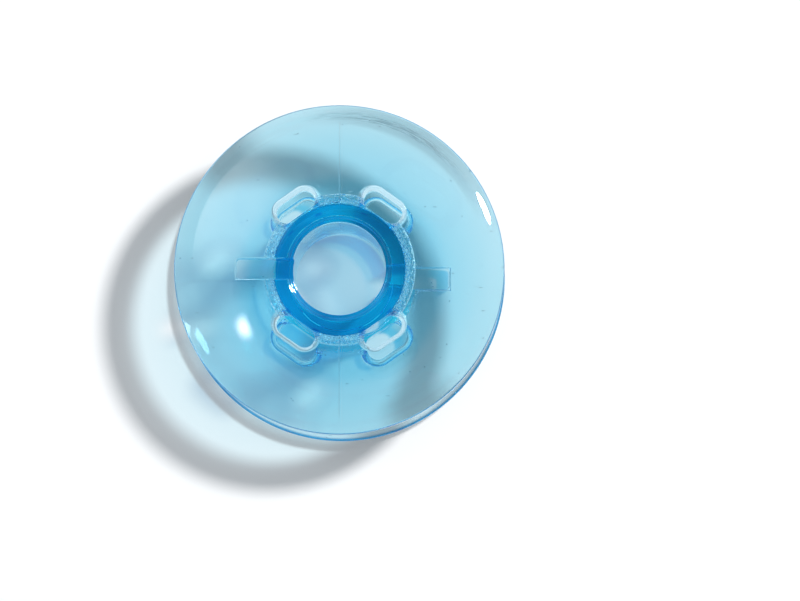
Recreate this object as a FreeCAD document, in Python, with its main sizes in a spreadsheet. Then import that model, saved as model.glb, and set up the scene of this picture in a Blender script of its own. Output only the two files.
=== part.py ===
"""A sewing machine bobbin, moulded in one piece of clear blue plastic.

Two round flanges stand on a hollow core that slides on a 6 mm class spindle.  Each flange is
flat inside, where the thread winds, and domed outside, with a narrow flat ring round the
bore that the bobbin stands on.  Four oblong windows pass through each flange beside the core,
and one drive notch is cut from the bore into each flange, on opposite sides, so that the
bobbin is the same whichever way up it is dropped in.

The model is built about the middle of the winding space and then lifted, so that its base is
at Z = 0, the bore runs along +Z and the notch of the upper flange points to -X.
Lengths are in millimetres and angles in degrees.
"""
import FreeCAD, Part
import Sketcher

import math
import os

# Driving dimensions: name, value and what it measures.
SIZES = [
    ("flange_dia", 20.5, "outside diameter of both flanges"),
    ("winding_gap", 5.75, "clear width between the flanges, filled by the thread"),
    ("flange_thick", 1.3, "thickness of a flange at the bore"),
    ("rim_thick", 0.68, "thickness of a flange at its rim, rounding included"),
    ("rim_round", 0.4, "rounding of the rim's outer edge"),
    ("core_dia", 8.0, "outside diameter of the core that the thread winds on"),
    ("core_bevel", 0.55, "bevel where the core meets a flange"),
    ("bore_dia", 5.8, "diameter of the spindle bore"),
    ("mouth_width", 0.4, "width of the shallow bevel at both mouths of the bore"),
    ("mouth_depth", 0.12, "depth of that bevel"),
    ("land_width", 0.35, "width of the flat ring round each mouth"),
    ("window_len", 2.6, "length of a window, round ends included"),
    ("window_width", 1.24, "width of a window, from the core outwards"),
    ("window_step", 0.09, "distance from the core's wall to the windows"),
    ("window_angle", 55.0, "direction of a window, from the line of the notches"),
    ("bevel_width", 0.34, "width of the bevel at a window's ends and outer side"),
    ("bevel_depth", 0.8, "depth of that bevel"),
    ("notch_width", 1.3, "width of a drive notch"),
    ("notch_reach", 6.4, "distance from the bore's axis to a notch's far end"),
    ("notch_corner", 0.25, "corner radius at a notch's far end"),
    ("notch_depth", 2.2, "depth of a notch below the flat ring"),
    ("gate_width", 0.6, "gate mark on the core, across the parting line"),
    ("gate_len", 1.0, "gate mark on the core, along the parting line"),
    ("gate_height", 0.12, "height of the gate mark above the core"),
]

# Level of the flat rings above the middle of the winding space.
HALF_HEIGHT = "sizes.winding_gap / 2 + sizes.flange_thick"

X_AXIS, Y_AXIS = -1, -2
ORIGIN = (-1, 1)
START, END, CENTRE = range(1, 4)


def vec(x, y, z=0.0):
    return FreeCAD.Vector(x, y, z)


def make_sheet(doc):
    """The spreadsheet that drives every size of the bobbin."""
    sheet = doc.addObject("Spreadsheet::Sheet", "sizes")
    for row, (name, value, meaning) in enumerate(SIZES, start=1):
        sheet.set("A%d" % row, name)
        sheet.set("B%d" % row, str(value))
        sheet.set("C%d" % row, meaning)
        sheet.setAlias("B%d" % row, name)
    doc.recompute()
    return sheet


def origin_part(body, role):
    """The plane or axis of the body's own origin with this role."""
    for feature in body.Origin.OriginFeatures:
        if feature.Role == role:
            return feature
    raise ValueError("no origin feature " + role)


def new_sketch(body, name, plane):
    sketch = body.newObject("Sketcher::SketchObject", name)
    sketch.AttachmentSupport = (origin_part(body, plane), [""])
    sketch.MapMode = "FlatFace"
    return sketch


def drive(sketch, name, kind, places, value, expression):
    """Adds a named dimension to a sketch and binds it to the spreadsheet."""
    index = sketch.addConstraint(Sketcher.Constraint(kind, *places, value))
    sketch.renameConstraint(index, name)
    sketch.setExpression("Constraints." + name, expression)


def join_ends(sketch, count):
    """Closes an outline whose pieces follow one another from end to start."""
    for piece in range(count):
        after = (piece + 1) % count
        sketch.addConstraint(Sketcher.Constraint("Coincident", piece, END, after, START))


def half_section(body, size):
    """The outline of the upper half of the bobbin's wall, from the bore outwards and back."""
    bore = size.bore_dia / 2
    mouth = bore + size.mouth_width
    land = mouth + size.land_width
    rim = size.flange_dia / 2
    core = size.core_dia / 2
    inner = size.winding_gap / 2
    top = inner + size.flange_thick
    lip = top - size.mouth_depth
    bevel = size.core_bevel

    # The crown is part of a sphere about the bore's axis, tangent to the rim's rounding.
    corner = size.rim_round
    shoulder = inner + size.rim_thick - corner
    rise = top - shoulder
    span = (rim - corner) ** 2 - land ** 2 + rise ** 2 - corner ** 2
    excess = rise ** 2 - corner ** 2
    root = math.sqrt(span ** 2 + 4 * land ** 2 * excess)
    centre = top - (rise * span + corner * root) / (2 * excess)
    crown = math.hypot(land, top - centre)
    lean = math.atan2(shoulder - centre, rim - corner)

    def arc(x, y, radius, first, last):
        return Part.ArcOfCircle(Part.Circle(vec(x, y), vec(0, 0, 1), radius), first, last)

    line = Part.LineSegment
    sketch = new_sketch(body, "half_section", "XZ_Plane")
    sketch.addGeometry([
        line(vec(bore, 0), vec(bore, lip)),
        line(vec(bore, lip), vec(mouth, top)),
        line(vec(mouth, top), vec(land, top)),
        arc(0, centre, crown, lean, math.atan2(top - centre, land)),
        arc(rim - corner, shoulder, corner, 0, lean),
        line(vec(rim, shoulder), vec(rim, inner)),
        line(vec(rim, inner), vec(core + bevel, inner)),
        line(vec(core + bevel, inner), vec(core, inner - bevel)),
        line(vec(core, inner - bevel), vec(core, 0)),
        line(vec(core, 0), vec(bore, 0)),
    ])
    (bore_wall, mouth_bevel, flat_ring, crown_arc, rim_corner,
     rim_wall, inner_face, core_bevel, core_wall, middle) = range(10)

    constrain = Sketcher.Constraint
    sketch.addConstraint([
        constrain("Coincident", bore_wall, END, mouth_bevel, START),
        constrain("Coincident", mouth_bevel, END, flat_ring, START),
        constrain("Coincident", flat_ring, END, crown_arc, END),
        constrain("Tangent", crown_arc, START, rim_corner, END),
        constrain("Tangent", rim_corner, START, rim_wall, START),
        constrain("Coincident", rim_wall, END, inner_face, START),
        constrain("Coincident", inner_face, END, core_bevel, START),
        constrain("Coincident", core_bevel, END, core_wall, START),
        constrain("Coincident", core_wall, END, middle, START),
        constrain("Coincident", middle, END, bore_wall, START),
        constrain("PointOnObject", bore_wall, START, X_AXIS),
        constrain("PointOnObject", crown_arc, CENTRE, Y_AXIS),
    ])
    for upright in (bore_wall, rim_wall, core_wall):
        sketch.addConstraint(constrain("Vertical", upright))
    for level in (flat_ring, inner_face, middle):
        sketch.addConstraint(constrain("Horizontal", level))

    drive(sketch, "bore_radius", "DistanceX", (*ORIGIN, bore_wall, START), bore, "sizes.bore_dia / 2")
    drive(sketch, "core_radius", "DistanceX", (*ORIGIN, core_wall, END), core, "sizes.core_dia / 2")
    drive(sketch, "rim_radius", "DistanceX", (*ORIGIN, rim_wall, END), rim, "sizes.flange_dia / 2")
    drive(sketch, "half_gap", "DistanceY", (*ORIGIN, rim_wall, END), inner, "sizes.winding_gap / 2")
    drive(sketch, "flange_thick", "DistanceY", (rim_wall, END, flat_ring, END), size.flange_thick,
          "sizes.flange_thick")
    drive(sketch, "rim_band", "DistanceY", (rim_wall, END, rim_wall, START), shoulder - inner,
          "sizes.rim_thick - sizes.rim_round")
    drive(sketch, "rim_round", "Radius", (rim_corner,), corner, "sizes.rim_round")
    drive(sketch, "bevel_run", "DistanceX", (core_bevel, END, core_bevel, START), bevel,
          "sizes.core_bevel")
    drive(sketch, "bevel_rise", "DistanceY", (core_bevel, END, core_bevel, START), bevel,
          "sizes.core_bevel")
    drive(sketch, "mouth_width", "DistanceX", (mouth_bevel, START, mouth_bevel, END),
          size.mouth_width, "sizes.mouth_width")
    drive(sketch, "mouth_depth", "DistanceY", (mouth_bevel, START, mouth_bevel, END),
          size.mouth_depth, "sizes.mouth_depth")
    drive(sketch, "land_width", "DistanceX", (flat_ring, START, flat_ring, END), size.land_width,
          "sizes.land_width")
    return sketch


def revolve_wall(body, size):
    """The turned form: bore, core and both flanges."""
    section = half_section(body, size)
    upper = body.newObject("PartDesign::Revolution", "upper_half")
    upper.Profile = section
    upper.ReferenceAxis = (origin_part(body, "Z_Axis"), [""])
    upper.Angle = 360
    body.Document.recompute()

    lower = body.newObject("PartDesign::Mirrored", "lower_half")
    lower.Originals = [upper]
    lower.MirrorPlane = (origin_part(body, "XY_Plane"), [""])
    body.Tip = lower
    body.Document.recompute()


def window_sketch(body, name):
    """An empty sketch on the level of the flat ring, turned to a window's direction."""
    sketch = new_sketch(body, name, "XY_Plane")
    sketch.setExpression("AttachmentOffset.Base.z", HALF_HEIGHT)
    sketch.setExpression("AttachmentOffset.Rotation.Angle", "sizes.window_angle")
    return sketch


def window_outline(body, size):
    """A window: straight sides and round ends."""
    near = size.core_dia / 2 + size.window_step
    far = near + size.window_width
    straight = (size.window_len - size.window_width) / 2
    middle = (near + far) / 2
    radius = size.window_width / 2

    sketch = window_sketch(body, "window_outline")
    first = Part.Circle(vec(middle, -straight), vec(0, 0, 1), radius)
    second = Part.Circle(vec(middle, straight), vec(0, 0, 1), radius)
    sketch.addGeometry([
        Part.LineSegment(vec(near, straight), vec(near, -straight)),
        Part.ArcOfCircle(first, math.pi, 2 * math.pi),
        Part.LineSegment(vec(far, -straight), vec(far, straight)),
        Part.ArcOfCircle(second, 0, math.pi),
    ])
    inner_side, first_end, outer_side, second_end = range(4)
    constrain = Sketcher.Constraint
    for piece in range(4):
        sketch.addConstraint(constrain("Tangent", piece, END, (piece + 1) % 4, START))
    sketch.addConstraint(constrain("Vertical", outer_side))
    sketch.addConstraint(constrain("Symmetric", inner_side, START, inner_side, END, X_AXIS))
    drive(sketch, "window_start", "DistanceX", (*ORIGIN, inner_side, END), near,
          "sizes.core_dia / 2 + sizes.window_step")
    drive(sketch, "window_width", "DistanceX", (inner_side, END, outer_side, START),
          size.window_width, "sizes.window_width")
    drive(sketch, "straight_len", "DistanceY", (outer_side, START, outer_side, END), 2 * straight,
          "sizes.window_len - sizes.window_width")
    return sketch


def bevel_outline(body, size):
    """The window's bevel on the outer face: wider at the ends and the outer side only."""
    near = size.core_dia / 2 + size.window_step
    middle = near + size.window_width / 2
    radius = size.window_width / 2 + size.bevel_width
    straight = (size.window_len - size.window_width) / 2
    turn = math.acos((near - middle) / radius)
    reach = straight + radius * math.sin(turn)
    far = middle + radius

    sketch = window_sketch(body, "bevel_outline")
    first = Part.Circle(vec(middle, -straight), vec(0, 0, 1), radius)
    second = Part.Circle(vec(middle, straight), vec(0, 0, 1), radius)
    sketch.addGeometry([
        Part.LineSegment(vec(near, reach), vec(near, -reach)),
        Part.ArcOfCircle(first, -turn, 0),
        Part.LineSegment(vec(far, -straight), vec(far, straight)),
        Part.ArcOfCircle(second, 0, turn),
    ])
    inner_side, first_end, outer_side, second_end = range(4)
    constrain = Sketcher.Constraint
    sketch.addConstraint([
        constrain("Coincident", inner_side, END, first_end, START),
        constrain("Tangent", first_end, END, outer_side, START),
        constrain("Tangent", outer_side, END, second_end, START),
        constrain("Coincident", second_end, END, inner_side, START),
        constrain("Symmetric", inner_side, START, inner_side, END, X_AXIS),
        constrain("Vertical", outer_side),
        constrain("Equal", first_end, second_end),
    ])
    drive(sketch, "window_start", "DistanceX", (*ORIGIN, inner_side, END), near,
          "sizes.core_dia / 2 + sizes.window_step")
    drive(sketch, "window_middle", "DistanceX", (*ORIGIN, first_end, CENTRE), middle,
          "(sizes.core_dia + sizes.window_width) / 2 + sizes.window_step")
    drive(sketch, "end_radius", "Radius", (first_end,), radius,
          "sizes.window_width / 2 + sizes.bevel_width")
    drive(sketch, "straight_len", "DistanceY", (outer_side, START, outer_side, END), 2 * straight,
          "sizes.window_len - sizes.window_width")
    return sketch


def cut_windows(body, size):
    """Eight windows with bevelled edges, one cut and mirrored three times."""
    bevel = body.newObject("PartDesign::Pocket", "window_bevel")
    bevel.Profile = bevel_outline(body, size)
    bevel.setExpression("Length", "sizes.bevel_depth")
    bevel.setExpression("TaperAngle", "-atan(sizes.bevel_width / sizes.bevel_depth)")
    body.Tip = bevel
    body.Document.recompute()

    window = body.newObject("PartDesign::Pocket", "window")
    window.Profile = window_outline(body, size)
    window.setExpression("Length", "sizes.flange_thick + sizes.core_bevel")
    body.Tip = window
    body.Document.recompute()

    windows = body.newObject("PartDesign::MultiTransform", "windows")
    windows.Originals = [bevel, window]
    mirrors = []
    for plane in ("YZ_Plane", "XZ_Plane", "XY_Plane"):
        mirror = body.newObject("PartDesign::Mirrored", "across_" + plane[:2].lower())
        mirror.MirrorPlane = (origin_part(body, plane), [""])
        mirrors.append(mirror)
    windows.Transformations = mirrors
    body.Tip = windows
    body.Document.recompute()


def notch_outline(body, size):
    """A drive notch from the bore's axis out to its rounded far end."""
    reach = size.notch_reach
    half = size.notch_width / 2
    corner = size.notch_corner
    shoulder = reach - corner

    sketch = new_sketch(body, "notch_outline", "XY_Plane")
    sketch.setExpression("AttachmentOffset.Base.z", HALF_HEIGHT)
    axis_end, near_side, near_corner, far_end, far_corner, far_side = range(6)
    line = Part.LineSegment
    first = Part.Circle(vec(corner - reach, corner - half), vec(0, 0, 1), corner)
    second = Part.Circle(vec(corner - reach, half - corner), vec(0, 0, 1), corner)
    sketch.addGeometry([
        line(vec(0, half), vec(0, -half)),
        line(vec(0, -half), vec(-shoulder, -half)),
        Part.ArcOfCircle(first, math.pi, 1.5 * math.pi),
        line(vec(-reach, corner - half), vec(-reach, half - corner)),
        Part.ArcOfCircle(second, math.pi / 2, math.pi),
        line(vec(-shoulder, half), vec(0, half)),
    ])
    constrain = Sketcher.Constraint
    sketch.addConstraint([
        constrain("Coincident", axis_end, END, near_side, START),
        constrain("Tangent", near_side, END, near_corner, END),
        constrain("Tangent", near_corner, START, far_end, START),
        constrain("Tangent", far_end, END, far_corner, END),
        constrain("Tangent", far_corner, START, far_side, START),
        constrain("Coincident", far_side, END, axis_end, START),
        constrain("Equal", near_corner, far_corner),
        constrain("Horizontal", near_side),
        constrain("Horizontal", far_side),
        constrain("Vertical", axis_end),
        constrain("Vertical", far_end),
        constrain("Symmetric", axis_end, START, axis_end, END, *ORIGIN),
    ])
    drive(sketch, "notch_width", "DistanceY", (axis_end, END, axis_end, START), size.notch_width,
          "sizes.notch_width")
    drive(sketch, "notch_reach", "DistanceX", (far_end, START, *ORIGIN), reach, "sizes.notch_reach")
    drive(sketch, "notch_corner", "Radius", (near_corner,), corner, "sizes.notch_corner")
    return sketch


def cut_notches(body, size):
    """One drive notch in each flange, half a turn apart about the Y axis."""
    notch = body.newObject("PartDesign::Pocket", "notch")
    notch.Profile = notch_outline(body, size)
    notch.setExpression("Length", "sizes.notch_depth")
    body.Tip = notch
    body.Document.recompute()

    notches = body.newObject("PartDesign::PolarPattern", "notches")
    notches.Originals = [notch]
    notches.Axis = (origin_part(body, "Y_Axis"), [""])
    notches.Angle = 360
    notches.Occurrences = 2
    body.Tip = notches
    body.Document.recompute()


def add_gate_mark(body, size):
    """The low mark that the gate left on the core, on the parting line."""
    half_width = size.gate_width / 2
    half_len = size.gate_len / 2
    sketch = new_sketch(body, "gate_outline", "XZ_Plane")
    sketch.setExpression("AttachmentOffset.Base.z", "(sizes.bore_dia + sizes.core_dia) / 4")
    corners = [vec(-half_width, -half_len), vec(half_width, -half_len),
               vec(half_width, half_len), vec(-half_width, half_len)]
    for piece in range(4):
        sketch.addGeometry(Part.LineSegment(corners[piece], corners[(piece + 1) % 4]))
    join_ends(sketch, 4)
    constrain = Sketcher.Constraint
    for piece in (0, 2):
        sketch.addConstraint(constrain("Horizontal", piece))
    for piece in (1, 3):
        sketch.addConstraint(constrain("Vertical", piece))
    sketch.addConstraint(constrain("Symmetric", 0, START, 2, START, *ORIGIN))
    drive(sketch, "gate_width", "DistanceX", (0, START, 0, END), size.gate_width, "sizes.gate_width")
    drive(sketch, "gate_len", "DistanceY", (1, START, 1, END), size.gate_len, "sizes.gate_len")

    gate = body.newObject("PartDesign::Pad", "gate_mark")
    gate.Profile = sketch
    gate.setExpression("Length", "(sizes.core_dia - sizes.bore_dia) / 4 + sizes.gate_height")
    body.Tip = gate
    body.Document.recompute()


def check(doc, body):
    """Stops if any feature failed or the solid is not one valid solid."""
    for item in doc.Objects:
        if "Invalid" in item.State or "Error" in item.State:
            raise RuntimeError("%s failed: %s" % (item.Label, item.State))
        if item.isDerivedFrom("Sketcher::SketchObject") and not item.FullyConstrained:
            raise RuntimeError("%s is not fully constrained" % item.Label)
    shape = body.Shape
    if shape.isNull() or not shape.isValid() or len(shape.Solids) != 1:
        raise RuntimeError("the bobbin is not one valid solid")


def main():
    doc = FreeCAD.newDocument("sewing_machine_bobbin")
    size = make_sheet(doc)
    body = doc.addObject("PartDesign::Body", "bobbin")
    body.Label = "bobbin"
    revolve_wall(body, size)
    cut_windows(body, size)
    cut_notches(body, size)
    add_gate_mark(body, size)
    body.setExpression("Placement.Base.z", HALF_HEIGHT)
    doc.recompute()
    check(doc, body)

    os.makedirs("parts", exist_ok=True)
    body.Shape.exportStep("parts/%s.step" % body.Label)
    box = body.Shape.optimalBoundingBox(False)
    print("bobbin: %.2f x %.2f x %.2f mm, %.1f mm3"
          % (box.XLength, box.YLength, box.ZLength, body.Shape.Volume))


main()
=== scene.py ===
"""A clear blue sewing machine bobbin, lying flat on a white table in soft studio light."""

import math
from types import SimpleNamespace

import bpy
from mathutils import Matrix, Vector


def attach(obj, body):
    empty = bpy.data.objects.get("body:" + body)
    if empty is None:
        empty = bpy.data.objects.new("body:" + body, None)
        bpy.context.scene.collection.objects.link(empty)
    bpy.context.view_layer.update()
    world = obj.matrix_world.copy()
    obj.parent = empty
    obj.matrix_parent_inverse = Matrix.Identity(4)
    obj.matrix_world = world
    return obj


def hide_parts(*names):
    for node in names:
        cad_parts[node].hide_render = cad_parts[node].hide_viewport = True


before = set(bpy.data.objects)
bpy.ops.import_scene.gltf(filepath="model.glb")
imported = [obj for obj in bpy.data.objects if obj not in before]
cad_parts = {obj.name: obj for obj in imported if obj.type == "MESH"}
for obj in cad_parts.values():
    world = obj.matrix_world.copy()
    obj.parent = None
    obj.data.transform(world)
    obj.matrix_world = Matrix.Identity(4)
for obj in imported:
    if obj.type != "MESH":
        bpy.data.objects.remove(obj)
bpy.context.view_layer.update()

# The bobbin's own measures, in millimetres.
HEIGHT = 8.35
MIDDLE = HEIGHT / 2
FLANGE_RADIUS = 10.25
FLANGE_THICK = 1.3
RIM_ROUND = 0.15
RIM_NICK = 0.04
CROWN_RADIUS = 68.3704
SHOULDER_START = 9.1
SHOULDER_RADIUS = 4.5
RING_INSIDE = 3.3
RING_OUTSIDE = 3.65
BORE_RADIUS = 2.9
MOUTH_DEPTH = 0.16
LIP_DEPTH = 0.05
LIP_WIDTH = 0.03
CORE_RADIUS = 4.0
CORE_FILLET = 0.6
WINDOW_NEAR = 4.09
WINDOW_WIDTH = 1.24
WINDOW_LENGTH = 2.6
WINDOW_ANGLES = (55, 125, 235, 305)
NOTCH_WIDTH = 1.3
NOTCH_REACH = 6.4
NOTCH_DEPTH = 2.2
NOTCH_CORNER = 0.25
GATE_WIDTH = 0.6
GATE_LENGTH = 1.0
GATE_HEIGHT = 0.12

# Steps of a window's bevel: the depth below the top, and how far it has widened there.
BEVEL_PROFILE = ((0.8, 0.0), (0.56, 0.09), (0.34, 0.185), (0.22, 0.25), (0.15, 0.305), (0.1, 0.37),
                 (-0.3, 0.6))

# Levels above and below the middle of the bobbin's height.
INNER_LEVEL = MIDDLE - FLANGE_THICK
NOTCH_LEVEL = MIDDLE - NOTCH_DEPTH

TURN_STEPS = 240
MILLIMETRE = 0.001

# The plastic in the mass, and the tints of its skin where deeper plastic or a dull mark shows, and a
# painted shade on the window bevels.
REFRACTION = 1.56
MASS_TINT = (0.04, 0.77, 0.95, 1)
MASS_DENSITY = 310.0
NO_TINT = (1, 1, 1, 1)
RING_TINT = (0.02, 1, 1, 1)
NOTCH_TINT = (0.02, 0.7, 1, 1)
WINDOW_END_TINT = (0.02, 0.4, 0.78, 1)
PAINTED_BEVEL_SHADE = (0.52, 0.67, 0.75, 1)
RIM_TINT = (0.03, 0.38, 0.68, 1)
RUB_TINT = (0.16, 0.23, 0.27, 1)

# The parting line's end, and the rubbed arc: radii in millimetres and angles in radians.
SEAM_END = (9.0, 9.6)
RUB_RADII = (9.35, 9.75)
RUB_ANGLES = (0.75, 1.6)

# Light that a lamp's ray keeps at each crossing of the plastic's skin.
CLEAR_PASS = (0.945, 0.945, 0.945, 1)
WALL_PASS = (0.89, 0.92, 0.94, 1)
SIDE_PASS = (0.5, 0.61, 0.67, 1)
SLOT_PASS = (0.2, 0.68, 0.9, 1)
FOOT_PASS = (0.45, 0.85, 0.96, 1)
TOP_PASS = (0.22, 0.5, 0.64, 1)
WINDOW_PASS = (0.25, 0.45, 0.6, 1)
RIM_PASS = 0.2
LOWER_RIM_PASS = 0.52

# Radii where that loss at the rims begins and where it is complete.
RIM_SHADE = (8.48, 8.68)
LOWER_RIM_SHADE = (9.6, 9.95)

# The spot on the core's wall where a painted pool of light is gathered, as an angle and a height.
GATHER_ANGLE = -2.75
GATHER_HEIGHT = 3.37
GATHER_PASS = (20, 6, 5, 1)

# The table, the room and the lamp: its place and width in metres, and the panel's direction.
# A glow has the cosine of the angle that it reaches, its share over the wall and its brightness.
TABLE_WHITE = (0.9, 0.9, 0.9, 1)
TABLE_LIFT = 0.12
# Painted light: round the core's foot the table's lift turns blue, in place of the blue light that comes
# through the core.
PAINTED_FOOT_LIGHT = (0.0, 0.62, 0.8, 1)
WALL_WHITE = (0.52, 0.565, 0.61, 1)
CEILING_GREY = (0.07, 0.07, 0.07, 1)
ROOM_THROUGH_PLASTIC = (1, 1, 1, 1)
PANEL_PLACE = (-0.25, 0.215, 1.0)
PANEL_GLOW = (0.99, 1.0, 2.6)
LAMP_PLACE = (0.186, 0.1155, 0.306)
LAMP_GLOW = (0.9, 0.5, 1.2)
LAMP_WIDTH = 0.047
LAMP_POWER = 1.19

# The photograph's frame and where the upper rim's circle lies in it, in pixels.
FRAME_WIDTH, FRAME_HEIGHT = 800, 601
RIM_CENTRE_X, RIM_CENTRE_Y = 339.3, 269.6
PIXELS_PER_MM = 16.12

# The height of that circle in millimetres, then the camera's distance in metres and its direction.
RIM_LEVEL = 7.33
VIEW_DISTANCE = 0.445
VIEW_FROM = (0.025, -0.0894, 1.0)


def deselect():
    bpy.ops.object.select_all(action="DESELECT")


def edit():
    bpy.ops.object.mode_set(mode="EDIT")


def leave():
    bpy.ops.object.mode_set(mode="OBJECT")


def pick(piece, kind, wanted):
    """Selects the vertices, edges or faces of a piece whose place passes a test."""
    edit()
    bpy.ops.mesh.select_all(action="DESELECT")
    bpy.ops.mesh.select_mode(type=kind)
    leave()
    mesh = piece.data
    if kind == "VERT":
        for vertex in mesh.vertices:
            vertex.select = wanted(vertex.co)
    elif kind == "EDGE":
        for edge in mesh.edges:
            first, second = (mesh.vertices[i].co for i in edge.vertices)
            edge.select = wanted(first, second)
    else:
        for face in mesh.polygons:
            face.select = wanted(face.center, face.normal)
    edit()


class Pen:
    """Draws an outline in the XZ plane by extruding one vertex along lines and arcs."""

    def __init__(self, name, x, z):
        deselect()
        bpy.ops.mesh.primitive_plane_add(size=1.0)
        self.piece = bpy.context.object
        self.piece.name = name
        edit()
        bpy.ops.mesh.select_all(action="SELECT")
        bpy.ops.mesh.merge(type="CENTER")
        bpy.ops.transform.translate(value=(x, 0, z))
        self.x, self.z = x, z

    def line(self, x, z, steps=1):
        step = ((x - self.x) / steps, 0, (z - self.z) / steps)
        for _ in range(steps):
            bpy.ops.mesh.extrude_region_move(TRANSFORM_OT_translate={"value": step})
        self.x, self.z = x, z

    def arc(self, centre_x, centre_z, degrees, steps):
        """Turns about a centre; a positive angle goes from +X towards +Z."""
        angle = math.radians(degrees)
        bpy.ops.mesh.spin(steps=steps, angle=angle, center=(centre_x, 0, centre_z), axis=(0, 1, 0))
        dx, dz = self.x - centre_x, self.z - centre_z
        self.x = centre_x + dx * math.cos(angle) - dz * math.sin(angle)
        self.z = centre_z + dx * math.sin(angle) + dz * math.cos(angle)


def lean(sine):
    """The angle from the vertical, in degrees."""
    return math.degrees(math.asin(sine))


def draw_crown(pen):
    """The outer face from the flat ring to the rim: a shallow dome, a rounder shoulder, a small corner."""
    dome = HEIGHT - math.sqrt(CROWN_RADIUS ** 2 - RING_OUTSIDE ** 2)
    first = lean(RING_OUTSIDE / CROWN_RADIUS)
    sine = SHOULDER_START / CROWN_RADIUS
    second = lean(sine)
    pen.arc(0, dome, first - second, 22)
    centre_x = pen.x - SHOULDER_RADIUS * sine
    centre_z = pen.z - SHOULDER_RADIUS * math.cos(math.radians(second))
    third = lean((FLANGE_RADIUS - RIM_ROUND - centre_x) / (SHOULDER_RADIUS - RIM_ROUND))
    pen.arc(centre_x, centre_z, second - third, 14)
    corner_z = pen.z - RIM_ROUND * math.cos(math.radians(third))
    pen.arc(FLANGE_RADIUS - RIM_ROUND, corner_z, third - 90, 8)


def add_mirrored_half(body):
    """Repeats the upper half below the middle of the winding space."""
    body.location = (0, 0, -MIDDLE)
    bpy.ops.object.transform_apply()
    bpy.ops.object.modifier_add(type="MIRROR")
    mirror = body.modifiers[-1]
    mirror.use_axis = (False, False, True)
    mirror.merge_threshold = 0.002
    bpy.ops.object.modifier_apply(modifier=mirror.name)
    body.location = (0, 0, MIDDLE)
    bpy.ops.object.transform_apply()


def turn_wall():
    """The turned form: bore, core and both flanges, from one outline spun about the bore's axis."""
    inside = HEIGHT - FLANGE_THICK
    lip = RING_INSIDE - LIP_WIDTH

    pen = Pen("bobbin_body", BORE_RADIUS, MIDDLE)
    pen.line(BORE_RADIUS, HEIGHT - MOUTH_DEPTH, 5)
    pen.line(lip, HEIGHT - LIP_DEPTH, 2)
    pen.line(RING_INSIDE, HEIGHT)
    pen.line(RING_OUTSIDE, HEIGHT, 2)
    draw_crown(pen)
    pen.line(FLANGE_RADIUS, inside + RIM_NICK, 2)
    pen.line(FLANGE_RADIUS - RIM_NICK, inside)
    pen.line(CORE_RADIUS + CORE_FILLET, inside, 8)
    pen.arc(CORE_RADIUS + CORE_FILLET, inside - CORE_FILLET, 90, 8)
    pen.line(CORE_RADIUS, MIDDLE, 5)
    leave()
    body = pen.piece
    add_mirrored_half(body)
    edit()

    bpy.ops.mesh.select_all(action="SELECT")
    bpy.ops.mesh.remove_doubles(threshold=0.002)
    bpy.ops.mesh.select_all(action="SELECT")
    bpy.ops.mesh.spin(steps=TURN_STEPS, angle=2 * math.pi, center=(0, 0, 0), axis=(0, 0, 1))
    bpy.ops.mesh.select_all(action="SELECT")
    bpy.ops.mesh.remove_doubles(threshold=0.002)
    bpy.ops.mesh.normals_make_consistent(inside=False)
    leave()
    return body


def window_cutter():
    """An oblong plug for a window on the +X side; its top swells at the ends and the outer side."""
    radius = WINDOW_WIDTH / 2
    reach = (WINDOW_LENGTH - WINDOW_WIDTH) / 2
    bottom = HEIGHT - FLANGE_THICK - CORE_FILLET - 0.05
    neck = HEIGHT - BEVEL_PROFILE[0][0]
    deselect()
    bpy.ops.mesh.primitive_cylinder_add(
        vertices=72, radius=radius, depth=neck - bottom, location=(0, 0, (neck + bottom) / 2),
        rotation=(0, 0, math.pi / 72))
    plug = bpy.context.object
    plug.name = "window_plug"
    bpy.ops.object.transform_apply()
    for side in (1, -1):
        pick(plug, "VERT", lambda co: 0 < co.y * side <= radius)
        bpy.ops.transform.translate(value=(0, side * reach, 0))
        leave()

    # The bevel is straight below and rounded above, where a collar clears the flange's face.
    levels = [(HEIGHT - depth, wider) for depth, wider in BEVEL_PROFILE[1:]]
    below, narrower = neck, 0.0
    for level, wider in levels:
        pick(plug, "FACE", lambda centre, normal: normal.z > 0.9 and centre.z > below - 0.001)
        bpy.ops.mesh.extrude_region_move(TRANSFORM_OT_translate={"value": (0, 0, level - below)})
        leave()
        swell = (radius + wider) / (radius + narrower)
        for side in (1, -1):
            pick(plug, "VERT", lambda co: co.z > level - 0.001 and co.y * side > 0)
            bpy.ops.transform.resize(value=(swell, swell, 1), center_override=(0, side * reach, level))
            leave()
        pick(plug, "VERT", lambda co: co.z > level - 0.001 and co.x < -radius)
        bpy.ops.transform.resize(value=(0, 1, 1), center_override=(-radius, 0, level))
        leave()
        below, narrower = level, wider
    plug.location = (WINDOW_NEAR + radius, 0, 0)
    bpy.ops.object.transform_apply()
    return plug


def notch_cutter():
    """A flat key with two rounded corners, as it stands for the upper notch, towards -X."""
    deselect()
    bpy.ops.mesh.primitive_cube_add(size=1.0)
    key = bpy.context.object
    key.name = "notch_key"
    tall = NOTCH_DEPTH + 0.5
    key.scale = (NOTCH_REACH, NOTCH_WIDTH, tall)
    key.location = (-NOTCH_REACH / 2, 0, HEIGHT - NOTCH_DEPTH + tall / 2)
    bpy.ops.object.transform_apply()
    pick(key, "EDGE", lambda a, b: abs(a.z - b.z) > 0.1 and max(a.x, b.x) < -NOTCH_REACH + 0.01)
    bpy.ops.mesh.bevel(offset=NOTCH_CORNER, segments=8)
    leave()
    return key


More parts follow.
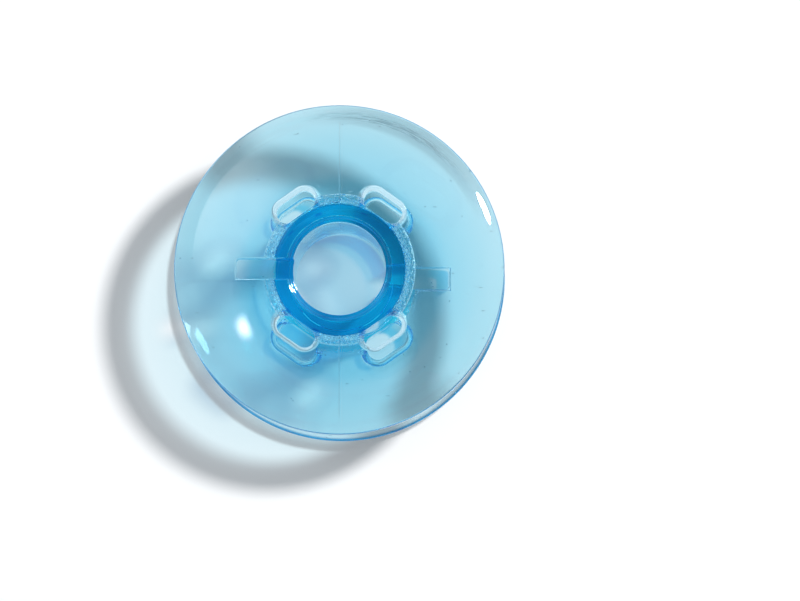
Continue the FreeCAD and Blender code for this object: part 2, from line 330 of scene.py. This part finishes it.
def copy_turned(piece, x_turn=0.0, y_turn=0.0, z_turn=0.0):
    """A copy with its own mesh, turned about the bobbin's middle."""
    deselect()
    piece.select_set(True)
    bpy.context.view_layer.objects.active = piece
    bpy.ops.object.duplicate()
    twin = bpy.context.object
    twin.location = (0, 0, -MIDDLE)
    bpy.ops.object.transform_apply()
    twin.rotation_euler = (math.radians(x_turn), math.radians(y_turn), math.radians(z_turn))
    bpy.ops.object.transform_apply()
    twin.location = (0, 0, MIDDLE)
    bpy.ops.object.transform_apply()
    return twin


def discard(piece):
    deselect()
    piece.select_set(True)
    bpy.ops.object.delete()


def merge_solids(body, tool, operation):
    """Cuts a tool from the body, or adds it, and removes the tool."""
    deselect()
    body.select_set(True)
    bpy.context.view_layer.objects.active = body
    bpy.ops.object.modifier_add(type="BOOLEAN")
    change = body.modifiers[-1]
    change.operation = operation
    change.solver = "EXACT"
    change.object = tool
    bpy.ops.object.modifier_apply(modifier=change.name)
    discard(tool)


def join(pieces):
    deselect()
    for piece in pieces:
        piece.select_set(True)
    bpy.context.view_layer.objects.active = pieces[0]
    bpy.ops.object.join()
    return pieces[0]


def cut_openings(body):
    """Eight windows and two drive notches."""
    plug = window_cutter()
    cutters = []
    for angle in WINDOW_ANGLES:
        cutters.append(copy_turned(plug, z_turn=angle))
        cutters.append(copy_turned(plug, x_turn=180, z_turn=angle))
    discard(plug)
    key = notch_cutter()
    cutters.append(copy_turned(key, y_turn=180))
    cutters.append(key)
    merge_solids(body, join(cutters), "DIFFERENCE")


def add_gate_mark(body):
    """The low, rounded mark on the core where the plastic was fed in."""
    deselect()
    bpy.ops.mesh.primitive_cube_add(size=1.0)
    mark = bpy.context.object
    mark.name = "gate_mark"
    depth = 0.4
    mark.scale = (GATE_WIDTH, depth, GATE_LENGTH)
    mark.location = (0, -CORE_RADIUS - GATE_HEIGHT + depth / 2, MIDDLE)
    bpy.ops.object.transform_apply()
    pick(mark, "EDGE", lambda a, b: max(a.y, b.y) < -CORE_RADIUS)
    bpy.ops.mesh.bevel(offset=0.06, segments=3)
    leave()
    merge_solids(body, mark, "UNION")


def finish_shape(body):
    """Brings the body from millimetres to metres and smooths its shading."""
    deselect()
    body.select_set(True)
    bpy.context.view_layer.objects.active = body
    body.scale = (MILLIMETRE,) * 3
    bpy.ops.object.transform_apply()
    bpy.ops.object.shade_smooth_by_angle(angle=math.radians(24))


def node(tree, kind, **settings):
    """A new node, laid out after the ones before it in rows of twelve."""
    count = len(tree.nodes)
    item = tree.nodes.new(kind)
    item.location = (220 * (count % 12), -280 * (count // 12))
    for name, value in settings.items():
        setattr(item, name, value)
    return item


def feed(tree, value, socket):
    """Wires an output to a socket, or sets a plain number or colour on it."""
    if isinstance(value, bpy.types.NodeSocket):
        tree.links.new(value, socket)
    else:
        socket.default_value = value


def maths(tree, operation, first, second=0.0):
    item = node(tree, "ShaderNodeMath", operation=operation)
    feed(tree, first, item.inputs[0])
    feed(tree, second, item.inputs[1])
    return item.outputs[0]


def absolute(tree, value):
    return maths(tree, "ABSOLUTE", value)


def product(tree, *values):
    result = values[0]
    for value in values[1:]:
        result = maths(tree, "MULTIPLY", result, value)
    return result


def total(tree, *values):
    result = values[0]
    for value in values[1:]:
        result = maths(tree, "ADD", result, value)
    return result


def fade(tree, value, low, high, start=0.0, end=1.0):
    """A smooth change between two numbers while a value crosses a range."""
    item = node(tree, "ShaderNodeMapRange", interpolation_type="SMOOTHSTEP")
    for name, number in (("Value", value), ("From Min", low), ("From Max", high),
                         ("To Min", start), ("To Max", end)):
        feed(tree, number, item.inputs[name])
    return item.outputs["Result"]


def band(tree, value, low, high, soft):
    """1 between two numbers and 0 outside them, with soft edges."""
    rise = fade(tree, value, low - soft, low + soft)
    fall = fade(tree, value, high - soft, high + soft, 1, 0)
    return product(tree, rise, fall)


def blend(tree, factor, first, second):
    item = node(tree, "ShaderNodeMix", data_type="RGBA")
    for name, value in (("Factor", factor), ("A", first), ("B", second)):
        socket = next(s for s in item.inputs if s.name == name and s.enabled)
        feed(tree, value, socket)
    return next(s for s in item.outputs if s.enabled)


def tinted(tree, first, second):
    """One colour filtered by another."""
    item = node(tree, "ShaderNodeVectorMath", operation="MULTIPLY")
    feed(tree, first, item.inputs[0])
    feed(tree, second, item.inputs[1])
    return item.outputs["Vector"]


def split_axes(tree, vector):
    item = node(tree, "ShaderNodeSeparateXYZ")
    feed(tree, vector, item.inputs[0])
    return tuple(item.outputs[axis] for axis in "XYZ")


def facing(tree, vector, direction):
    """How far a vector points in a fixed direction, as a cosine."""
    item = node(tree, "ShaderNodeVectorMath", operation="DOT_PRODUCT")
    feed(tree, vector, item.inputs[0])
    item.inputs[1].default_value = Vector(direction).normalized()
    return item.outputs["Value"]


def noise(tree, where, grain, detail=2.0):
    """A soft pattern whose grain is given in millimetres."""
    item = node(tree, "ShaderNodeTexNoise")
    feed(tree, where, item.inputs["Vector"])
    item.inputs["Scale"].default_value = 1 / grain
    item.inputs["Detail"].default_value = detail
    return item.outputs["Fac"]


def flecks(tree, where, spacing, turn, stretch, small, large):
    """Sparse flecks, drawn out along one direction."""
    lay = node(tree, "ShaderNodeMapping", vector_type="POINT")
    feed(tree, where, lay.inputs["Vector"])
    lay.inputs["Rotation"].default_value = (0, 0, math.radians(turn))
    lay.inputs["Scale"].default_value = (1 / stretch, 1, 1 / stretch)
    cells = node(tree, "ShaderNodeTexVoronoi")
    feed(tree, lay.outputs["Vector"], cells.inputs["Vector"])
    cells.inputs["Scale"].default_value = 1 / spacing
    return fade(tree, cells.outputs["Distance"], small, large, 1, 0)


def bobbin_places(tree):
    """Where a point lies on the bobbin, in millimetres and radians, and how upright its skin is there."""
    scaled = node(tree, "ShaderNodeVectorMath", operation="SCALE")
    feed(tree, node(tree, "ShaderNodeTexCoord").outputs["Object"], scaled.inputs[0])
    scaled.inputs["Scale"].default_value = 1 / MILLIMETRE
    spot = scaled.outputs["Vector"]
    x, y, z = split_axes(tree, spot)
    quarter = maths(tree, "ARCTAN2", absolute(tree, y), absolute(tree, x))
    nearest = math.radians(WINDOW_ANGLES[0])
    skin = node(tree, "ShaderNodeNewGeometry").outputs["Normal"]
    return SimpleNamespace(
        spot=spot, x=x, y=y, z=z, skin=skin,
        radius=maths(tree, "SQRT", total(tree, product(tree, x, x), product(tree, y, y))),
        angle=maths(tree, "ARCTAN2", y, x),
        level=absolute(tree, maths(tree, "SUBTRACT", z, MIDDLE)),
        upper=fade(tree, z, MIDDLE - 0.1, MIDDLE + 0.1),
        from_window=absolute(tree, maths(tree, "SUBTRACT", quarter, nearest)),
        upright=absolute(tree, split_axes(tree, skin)[2]))


def moulding_marks(tree, at):
    """Masks of the fine marks that the mould and the use of the bobbin have left."""
    # Frosted corners between the core and the flanges.
    frost = product(tree, band(tree, at.radius, CORE_RADIUS + 0.03, CORE_RADIUS + CORE_FILLET + 0.06, 0.05),
                    band(tree, at.level, INNER_LEVEL - 0.635, INNER_LEVEL + 0.015, 0.02),
                    fade(tree, at.from_window, 0.27, 0.33))

    # A fine line where the halves of the mould met, on the inner faces and the core.
    seam = product(tree, fade(tree, absolute(tree, at.x), 0.012, 0.035, 1, 0),
                   fade(tree, at.level, INNER_LEVEL + 0.025, INNER_LEVEL + 0.075, 1, 0),
                   fade(tree, at.radius, *SEAM_END, 1, 0))

    # Specks, short scratches, and streaks along the turn that show most in a rubbed arc near the rim.
    specks = flecks(tree, at.spot, 0.85, 0, 1.0, 0.02, 0.05)
    scratches = maths(tree, "MAXIMUM", flecks(tree, at.spot, 0.45, 25, 9.0, 0.02, 0.045),
                      flecks(tree, at.spot, 0.5, 118, 8.0, 0.02, 0.045))
    swirl = node(tree, "ShaderNodeCombineXYZ")
    for place, pace, socket in zip((at.angle, at.radius, at.z), (9.5, 26.0, 4.0), swirl.inputs):
        feed(tree, product(tree, place, pace), socket)
    streaks = noise(tree, swirl.outputs[0], 1.3, 3.0)
    rub = product(tree, band(tree, at.radius, *RUB_RADII, 0.14), band(tree, at.angle, *RUB_ANGLES, 0.35),
                  fade(tree, streaks, 0.42, 0.6), at.upper, fade(tree, at.level, 3.3, 3.4))
    return SimpleNamespace(frost=frost, seam=seam, specks=specks, scratches=scratches, streaks=streaks,
                           rub=rub)


def skin_relief(tree, at, marks):
    """The skin's normal, with the marks, softened notch edges and fine ripples at the mouths."""
    along = product(tree, at.x, fade(tree, at.upper, 0, 1, 1, -1))
    beside = maths(tree, "MAXIMUM", maths(tree, "SUBTRACT", absolute(tree, at.y), NOTCH_WIDTH / 2),
                   maths(tree, "SUBTRACT", along, NOTCH_REACH))
    notch_edge = product(tree, fade(tree, beside, 0.0, 0.06, 1, 0),
                         fade(tree, along, RING_INSIDE, RING_INSIDE + 0.1), fade(tree, at.level, 3.8, 3.9))
    ripples = product(tree, maths(tree, "SINE", product(tree, at.radius, 24.0)),
                      fade(tree, at.radius, BORE_RADIUS + 0.22, BORE_RADIUS + 0.3, 1, 0),
                      fade(tree, at.level, 3.95, 4.0))
    rim_zone = fade(tree, at.radius, 8.7, 9.5, 0.1, 1.0)
    height = total(tree, product(tree, marks.frost, noise(tree, at.spot, 0.16, 1.0), 6.0),
                   product(tree, marks.seam, -0.62), product(tree, notch_edge, -2.0),
                   product(tree, ripples, 0.3), product(tree, marks.specks, 1.2),
                   product(tree, marks.scratches, 0.6), product(tree, marks.streaks, rim_zone, 0.015))
    bump = node(tree, "ShaderNodeBump")
    bump.inputs["Strength"].default_value = 1.0
    bump.inputs["Distance"].default_value = 0.02 * MILLIMETRE
    feed(tree, height, bump.inputs["Height"])
    return bump.outputs["Normal"]


def skin_roughness(tree, at, marks):
    flaws = maths(tree, "MAXIMUM", marks.specks, marks.scratches)
    return total(tree, product(tree, marks.frost, 0.12), product(tree, marks.rub, 0.3),
                 product(tree, flaws, 0.45), product(tree, marks.seam, 0.3),
                 product(tree, noise(tree, at.spot, 1.8), 0.03))


def skin_colour(tree, at, marks):
    """Clear but for the places where the eye looks down the core, into an edge or at a worn arc, and a
    painted shade that dims the window bevels.
    """
    outer = fade(tree, at.level, 3.7, 3.8)
    middle = fade(tree, at.radius, CORE_RADIUS - 0.05, CORE_RADIUS + 0.15, 1, 0)
    colour = blend(tree, product(tree, middle, outer), NO_TINT, RING_TINT)

    half_width = NOTCH_WIDTH / 2
    notch_floor = product(tree, band(tree, at.level, NOTCH_LEVEL - 0.045, NOTCH_LEVEL + 0.045, 0.02),
                          fade(tree, absolute(tree, at.y), half_width - 0.05, half_width + 0.05, 1, 0))
    colour = blend(tree, product(tree, middle, notch_floor), colour, NOTCH_TINT)

    window_ends = product(tree, band(tree, at.from_window, 0.2, 0.31, 0.03),
                          band(tree, at.radius, CORE_RADIUS + 0.02, CORE_RADIUS + 0.5, 0.06), outer)
    colour = blend(tree, window_ends, colour, WINDOW_END_TINT)

    # Painted shade: the window bevels are tinted a darker blue-grey, which dims their bright look.
    painted_bevel_mask = product(tree, band(tree, at.upright, 0.22, 0.56, 0.06), fade(tree, at.level, 3.1, 3.3),
                     band(tree, at.radius, 4.15, 6.6, 0.1))
    colour = blend(tree, painted_bevel_mask, colour, PAINTED_BEVEL_SHADE)

    both_rims = fade(tree, at.radius, FLANGE_RADIUS - 0.08, FLANGE_RADIUS - 0.03)
    lower_rim = product(tree, fade(tree, at.radius, FLANGE_RADIUS - 0.25, FLANGE_RADIUS - 0.07),
                        fade(tree, at.z, FLANGE_THICK + 0.2, FLANGE_THICK + 0.4, 1, 0))
    colour = blend(tree, maths(tree, "MAXIMUM", both_rims, lower_rim), colour, RIM_TINT)
    return blend(tree, marks.rub, colour, RUB_TINT)


def light_passed(tree, at):
    """What a lamp's ray keeps at the skin: rims and steep walls bend part of it away or tint it."""
    steep = fade(tree, at.upright, 0.25, 0.6, 1, 0)
    across = absolute(tree, facing(tree, at.skin, (LAMP_PLACE[0], LAMP_PLACE[1], 0)))
    head_on = fade(tree, across, 0.35, 0.95)
    core = product(tree, steep, fade(tree, at.radius, CORE_RADIUS + 0.05, CORE_RADIUS + 0.15, 1, 0))
    passed = blend(tree, core, CLEAR_PASS, blend(tree, head_on, SIDE_PASS, WALL_PASS))

    slot = product(tree, steep, fade(tree, at.z, FLANGE_THICK + 0.1, FLANGE_THICK + 0.2, 1, 0),
                   fade(tree, at.radius, NOTCH_REACH + 0.2, NOTCH_REACH + 0.5, 1, 0))
    foot = product(tree, fade(tree, at.radius, CORE_RADIUS + 0.3, CORE_RADIUS + 0.5, 1, 0),
                   band(tree, at.z, 0.2, 2.2, 0.1))
    top = product(tree, fade(tree, at.radius, CORE_RADIUS - 0.05, CORE_RADIUS + 0.2, 1, 0),
                  fade(tree, at.z, HEIGHT - 0.45, HEIGHT - 0.35))
    window = product(tree, fade(tree, at.upright, 0.6, 0.95, 1, 0),
                     band(tree, at.radius, CORE_RADIUS + 0.12, CORE_RADIUS + 2.1, 0.05),
                     fade(tree, at.z, HEIGHT - 2.0, HEIGHT - 1.9))

    # A painted pool of light: where the lamp's ray passes one spot on the core's wall, its light is made
    # stronger than it came, for the bright spot that the round wall gathers on the far side.
    gather = product(tree, band(tree, at.angle, GATHER_ANGLE - 0.12, GATHER_ANGLE + 0.12, 0.1),
                     band(tree, at.z, GATHER_HEIGHT - 0.3, GATHER_HEIGHT + 0.3, 0.2),
                     fade(tree, at.radius, CORE_RADIUS - 0.1, CORE_RADIUS - 0.05))
    for place, share in ((slot, SLOT_PASS), (foot, FOOT_PASS), (top, TOP_PASS), (window, WINDOW_PASS),
                         (gather, GATHER_PASS)):
        passed = tinted(tree, passed, blend(tree, place, NO_TINT, share))

    # The upper rim throws the wider shadow, and the lower one the paler.
    start, end = (fade(tree, at.upper, 0, 1, low, high) for low, high in zip(LOWER_RIM_SHADE, RIM_SHADE))
    rim = fade(tree, at.radius, start, end, 1, fade(tree, at.upper, 0, 1, LOWER_RIM_PASS, RIM_PASS))
    return tinted(tree, passed, rim)


def clear_blue_plastic():
    """Clear plastic that is tinted in the mass, with fine moulding and handling marks."""
    material = bpy.data.materials.new("clear_blue_plastic")
    material.use_nodes = True
    tree = material.node_tree
    tree.nodes.clear()
    at = bobbin_places(tree)
    marks = moulding_marks(tree, at)

    plastic = node(tree, "ShaderNodeBsdfPrincipled")
    plastic.inputs["IOR"].default_value = REFRACTION
    plastic.inputs["Transmission Weight"].default_value = 1.0
    feed(tree, skin_colour(tree, at, marks), plastic.inputs["Base Color"])
    feed(tree, skin_roughness(tree, at, marks), plastic.inputs["Roughness"])
    feed(tree, skin_relief(tree, at, marks), plastic.inputs["Normal"])

    through = node(tree, "ShaderNodeBsdfTransparent")
    feed(tree, light_passed(tree, at), through.inputs["Color"])
    path = node(tree, "ShaderNodeLightPath")
    lit = maths(tree, "MAXIMUM", path.outputs["Is Shadow Ray"], path.outputs["Is Diffuse Ray"])
    mix = node(tree, "ShaderNodeMixShader")
    feed(tree, lit, mix.inputs["Fac"])
    feed(tree, plastic.outputs[0], mix.inputs[1])
    feed(tree, through.outputs[0], mix.inputs[2])

    mass = node(tree, "ShaderNodeVolumeAbsorption")
    mass.inputs["Color"].default_value = MASS_TINT
    mass.inputs["Density"].default_value = MASS_DENSITY
    out = node(tree, "ShaderNodeOutputMaterial")
    feed(tree, mix.outputs[0], out.inputs["Surface"])
    feed(tree, mass.outputs[0], out.inputs["Volume"])
    return material


def table_white():
    """A matt table that the lens sees as the white background, with a painted blue light on it round the
    core's foot.
    """
    material = bpy.data.materials.new("table_white")
    material.use_nodes = True
    tree = material.node_tree
    tree.nodes.clear()
    matt = node(tree, "ShaderNodeBsdfDiffuse")
    matt.inputs["Color"].default_value = TABLE_WHITE
    path = node(tree, "ShaderNodeLightPath")
    seen = maths(tree, "MAXIMUM", path.outputs["Is Camera Ray"], path.outputs["Is Glossy Ray"])
    seen = maths(tree, "MAXIMUM", seen, path.outputs["Is Transmission Ray"])
    away = node(tree, "ShaderNodeVectorMath", operation="LENGTH")
    feed(tree, node(tree, "ShaderNodeTexCoord").outputs["Object"], away.inputs[0])
    away = maths(tree, "DIVIDE", away.outputs["Value"], MILLIMETRE)
    # Painted light: near the core's foot the lift is tinted blue.
    painted_foot_light_mask = band(tree, away, CORE_RADIUS - 0.6, CORE_RADIUS + 2.1, 0.5)
    lift_and_painted_foot_light = node(tree, "ShaderNodeEmission")
    feed(tree, blend(tree, painted_foot_light_mask, NO_TINT, PAINTED_FOOT_LIGHT), lift_and_painted_foot_light.inputs["Color"])
    feed(tree, product(tree, seen, TABLE_LIFT), lift_and_painted_foot_light.inputs["Strength"])
    both = node(tree, "ShaderNodeAddShader")
    feed(tree, matt.outputs[0], both.inputs[0])
    feed(tree, lift_and_painted_foot_light.outputs[0], both.inputs[1])
    out = node(tree, "ShaderNodeOutputMaterial")
    feed(tree, both.outputs[0], out.inputs["Surface"])
    return material


def lay_table():
    deselect()
    bpy.ops.mesh.primitive_plane_add(size=2.0, location=(0, 0, -0.00001))
    table = bpy.context.object
    table.name = "table"
    table.data.materials.append(table_white())


def add_glow(tree, walls, towards, place, reach, share, white):
    """Walls that brighten round one direction."""
    glow = product(tree, fade(tree, facing(tree, towards, place), reach, 1.0), share)
    return blend(tree, glow, walls, (white, white, white, 1))


def pale_room():
    """Pale walls that darken overhead but for the lamp's glow and a soft panel."""
    world = bpy.data.worlds.new("pale_room")
    bpy.context.scene.world = world
    world.use_nodes = True
    tree = world.node_tree
    tree.nodes.clear()
    towards = node(tree, "ShaderNodeTexCoord").outputs["Generated"]
    overhead = fade(tree, split_axes(tree, towards)[2], 0.55, 0.95)
    walls = blend(tree, overhead, WALL_WHITE, CEILING_GREY)
    walls = add_glow(tree, walls, towards, LAMP_PLACE, *LAMP_GLOW)
    walls = add_glow(tree, walls, towards, PANEL_PLACE, *PANEL_GLOW)
    path = node(tree, "ShaderNodeLightPath")
    back = node(tree, "ShaderNodeBackground")
    walls = blend(tree, path.outputs["Is Transmission Ray"], walls, ROOM_THROUGH_PLASTIC)
    feed(tree, walls, back.inputs["Color"])
    out = node(tree, "ShaderNodeOutputWorld")
    feed(tree, back.outputs[0], out.inputs["Surface"])


def key_lamp():
    """A round lamp at the upper right that points at the bobbin."""
    lamp = bpy.data.lights.new("key_lamp", "AREA")
    lamp.shape = "DISK"
    lamp.size = LAMP_WIDTH
    lamp.energy = LAMP_POWER
    key = bpy.data.objects.new("key_lamp", lamp)
    bpy.context.scene.collection.objects.link(key)
    key.location = LAMP_PLACE
    key.rotation_euler = Vector(LAMP_PLACE).to_track_quat("Z", "Y").to_euler()


def place_camera():
    """Looks down at the upper rim's circle, so that it lies where the photograph shows it."""
    middle = Vector((0, 0, RIM_LEVEL * MILLIMETRE))
    eye = middle + Vector(VIEW_FROM).normalized() * VIEW_DISTANCE
    pixel = MILLIMETRE / PIXELS_PER_MM
    aim = middle + Vector(((FRAME_WIDTH / 2 - RIM_CENTRE_X) * pixel,
                           (RIM_CENTRE_Y - FRAME_HEIGHT / 2) * pixel, 0))
    data = bpy.data.cameras.new("camera")
    data.sensor_fit = "HORIZONTAL"
    data.sensor_width = 36.0
    data.lens = PIXELS_PER_MM / MILLIMETRE * VIEW_DISTANCE * data.sensor_width / FRAME_WIDTH
    data.clip_start = 0.01
    camera = bpy.data.objects.new("camera", data)
    bpy.context.scene.collection.objects.link(camera)
    camera.location = eye
    back = (eye - aim).normalized()
    right = (Vector((1, 0, 0)) - back * back.x).normalized()
    camera.rotation_euler = Matrix((right, back.cross(right), back)).transposed().to_euler()
    bpy.context.scene.camera = camera


def main():
    scene = bpy.context.scene
    scene.view_settings.view_transform = "Standard"
    scene.cycles.max_bounces = 24
    scene.cycles.glossy_bounces = 16
    scene.cycles.transmission_bounces = 24
    body = turn_wall()
    cut_openings(body)
    add_gate_mark(body)
    finish_shape(body)
    body.data.materials.clear()
    body.data.materials.append(clear_blue_plastic())
    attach(body, "root")
    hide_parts("bobbin")
    lay_table()
    pale_room()
    key_lamp()
    place_camera()


main()
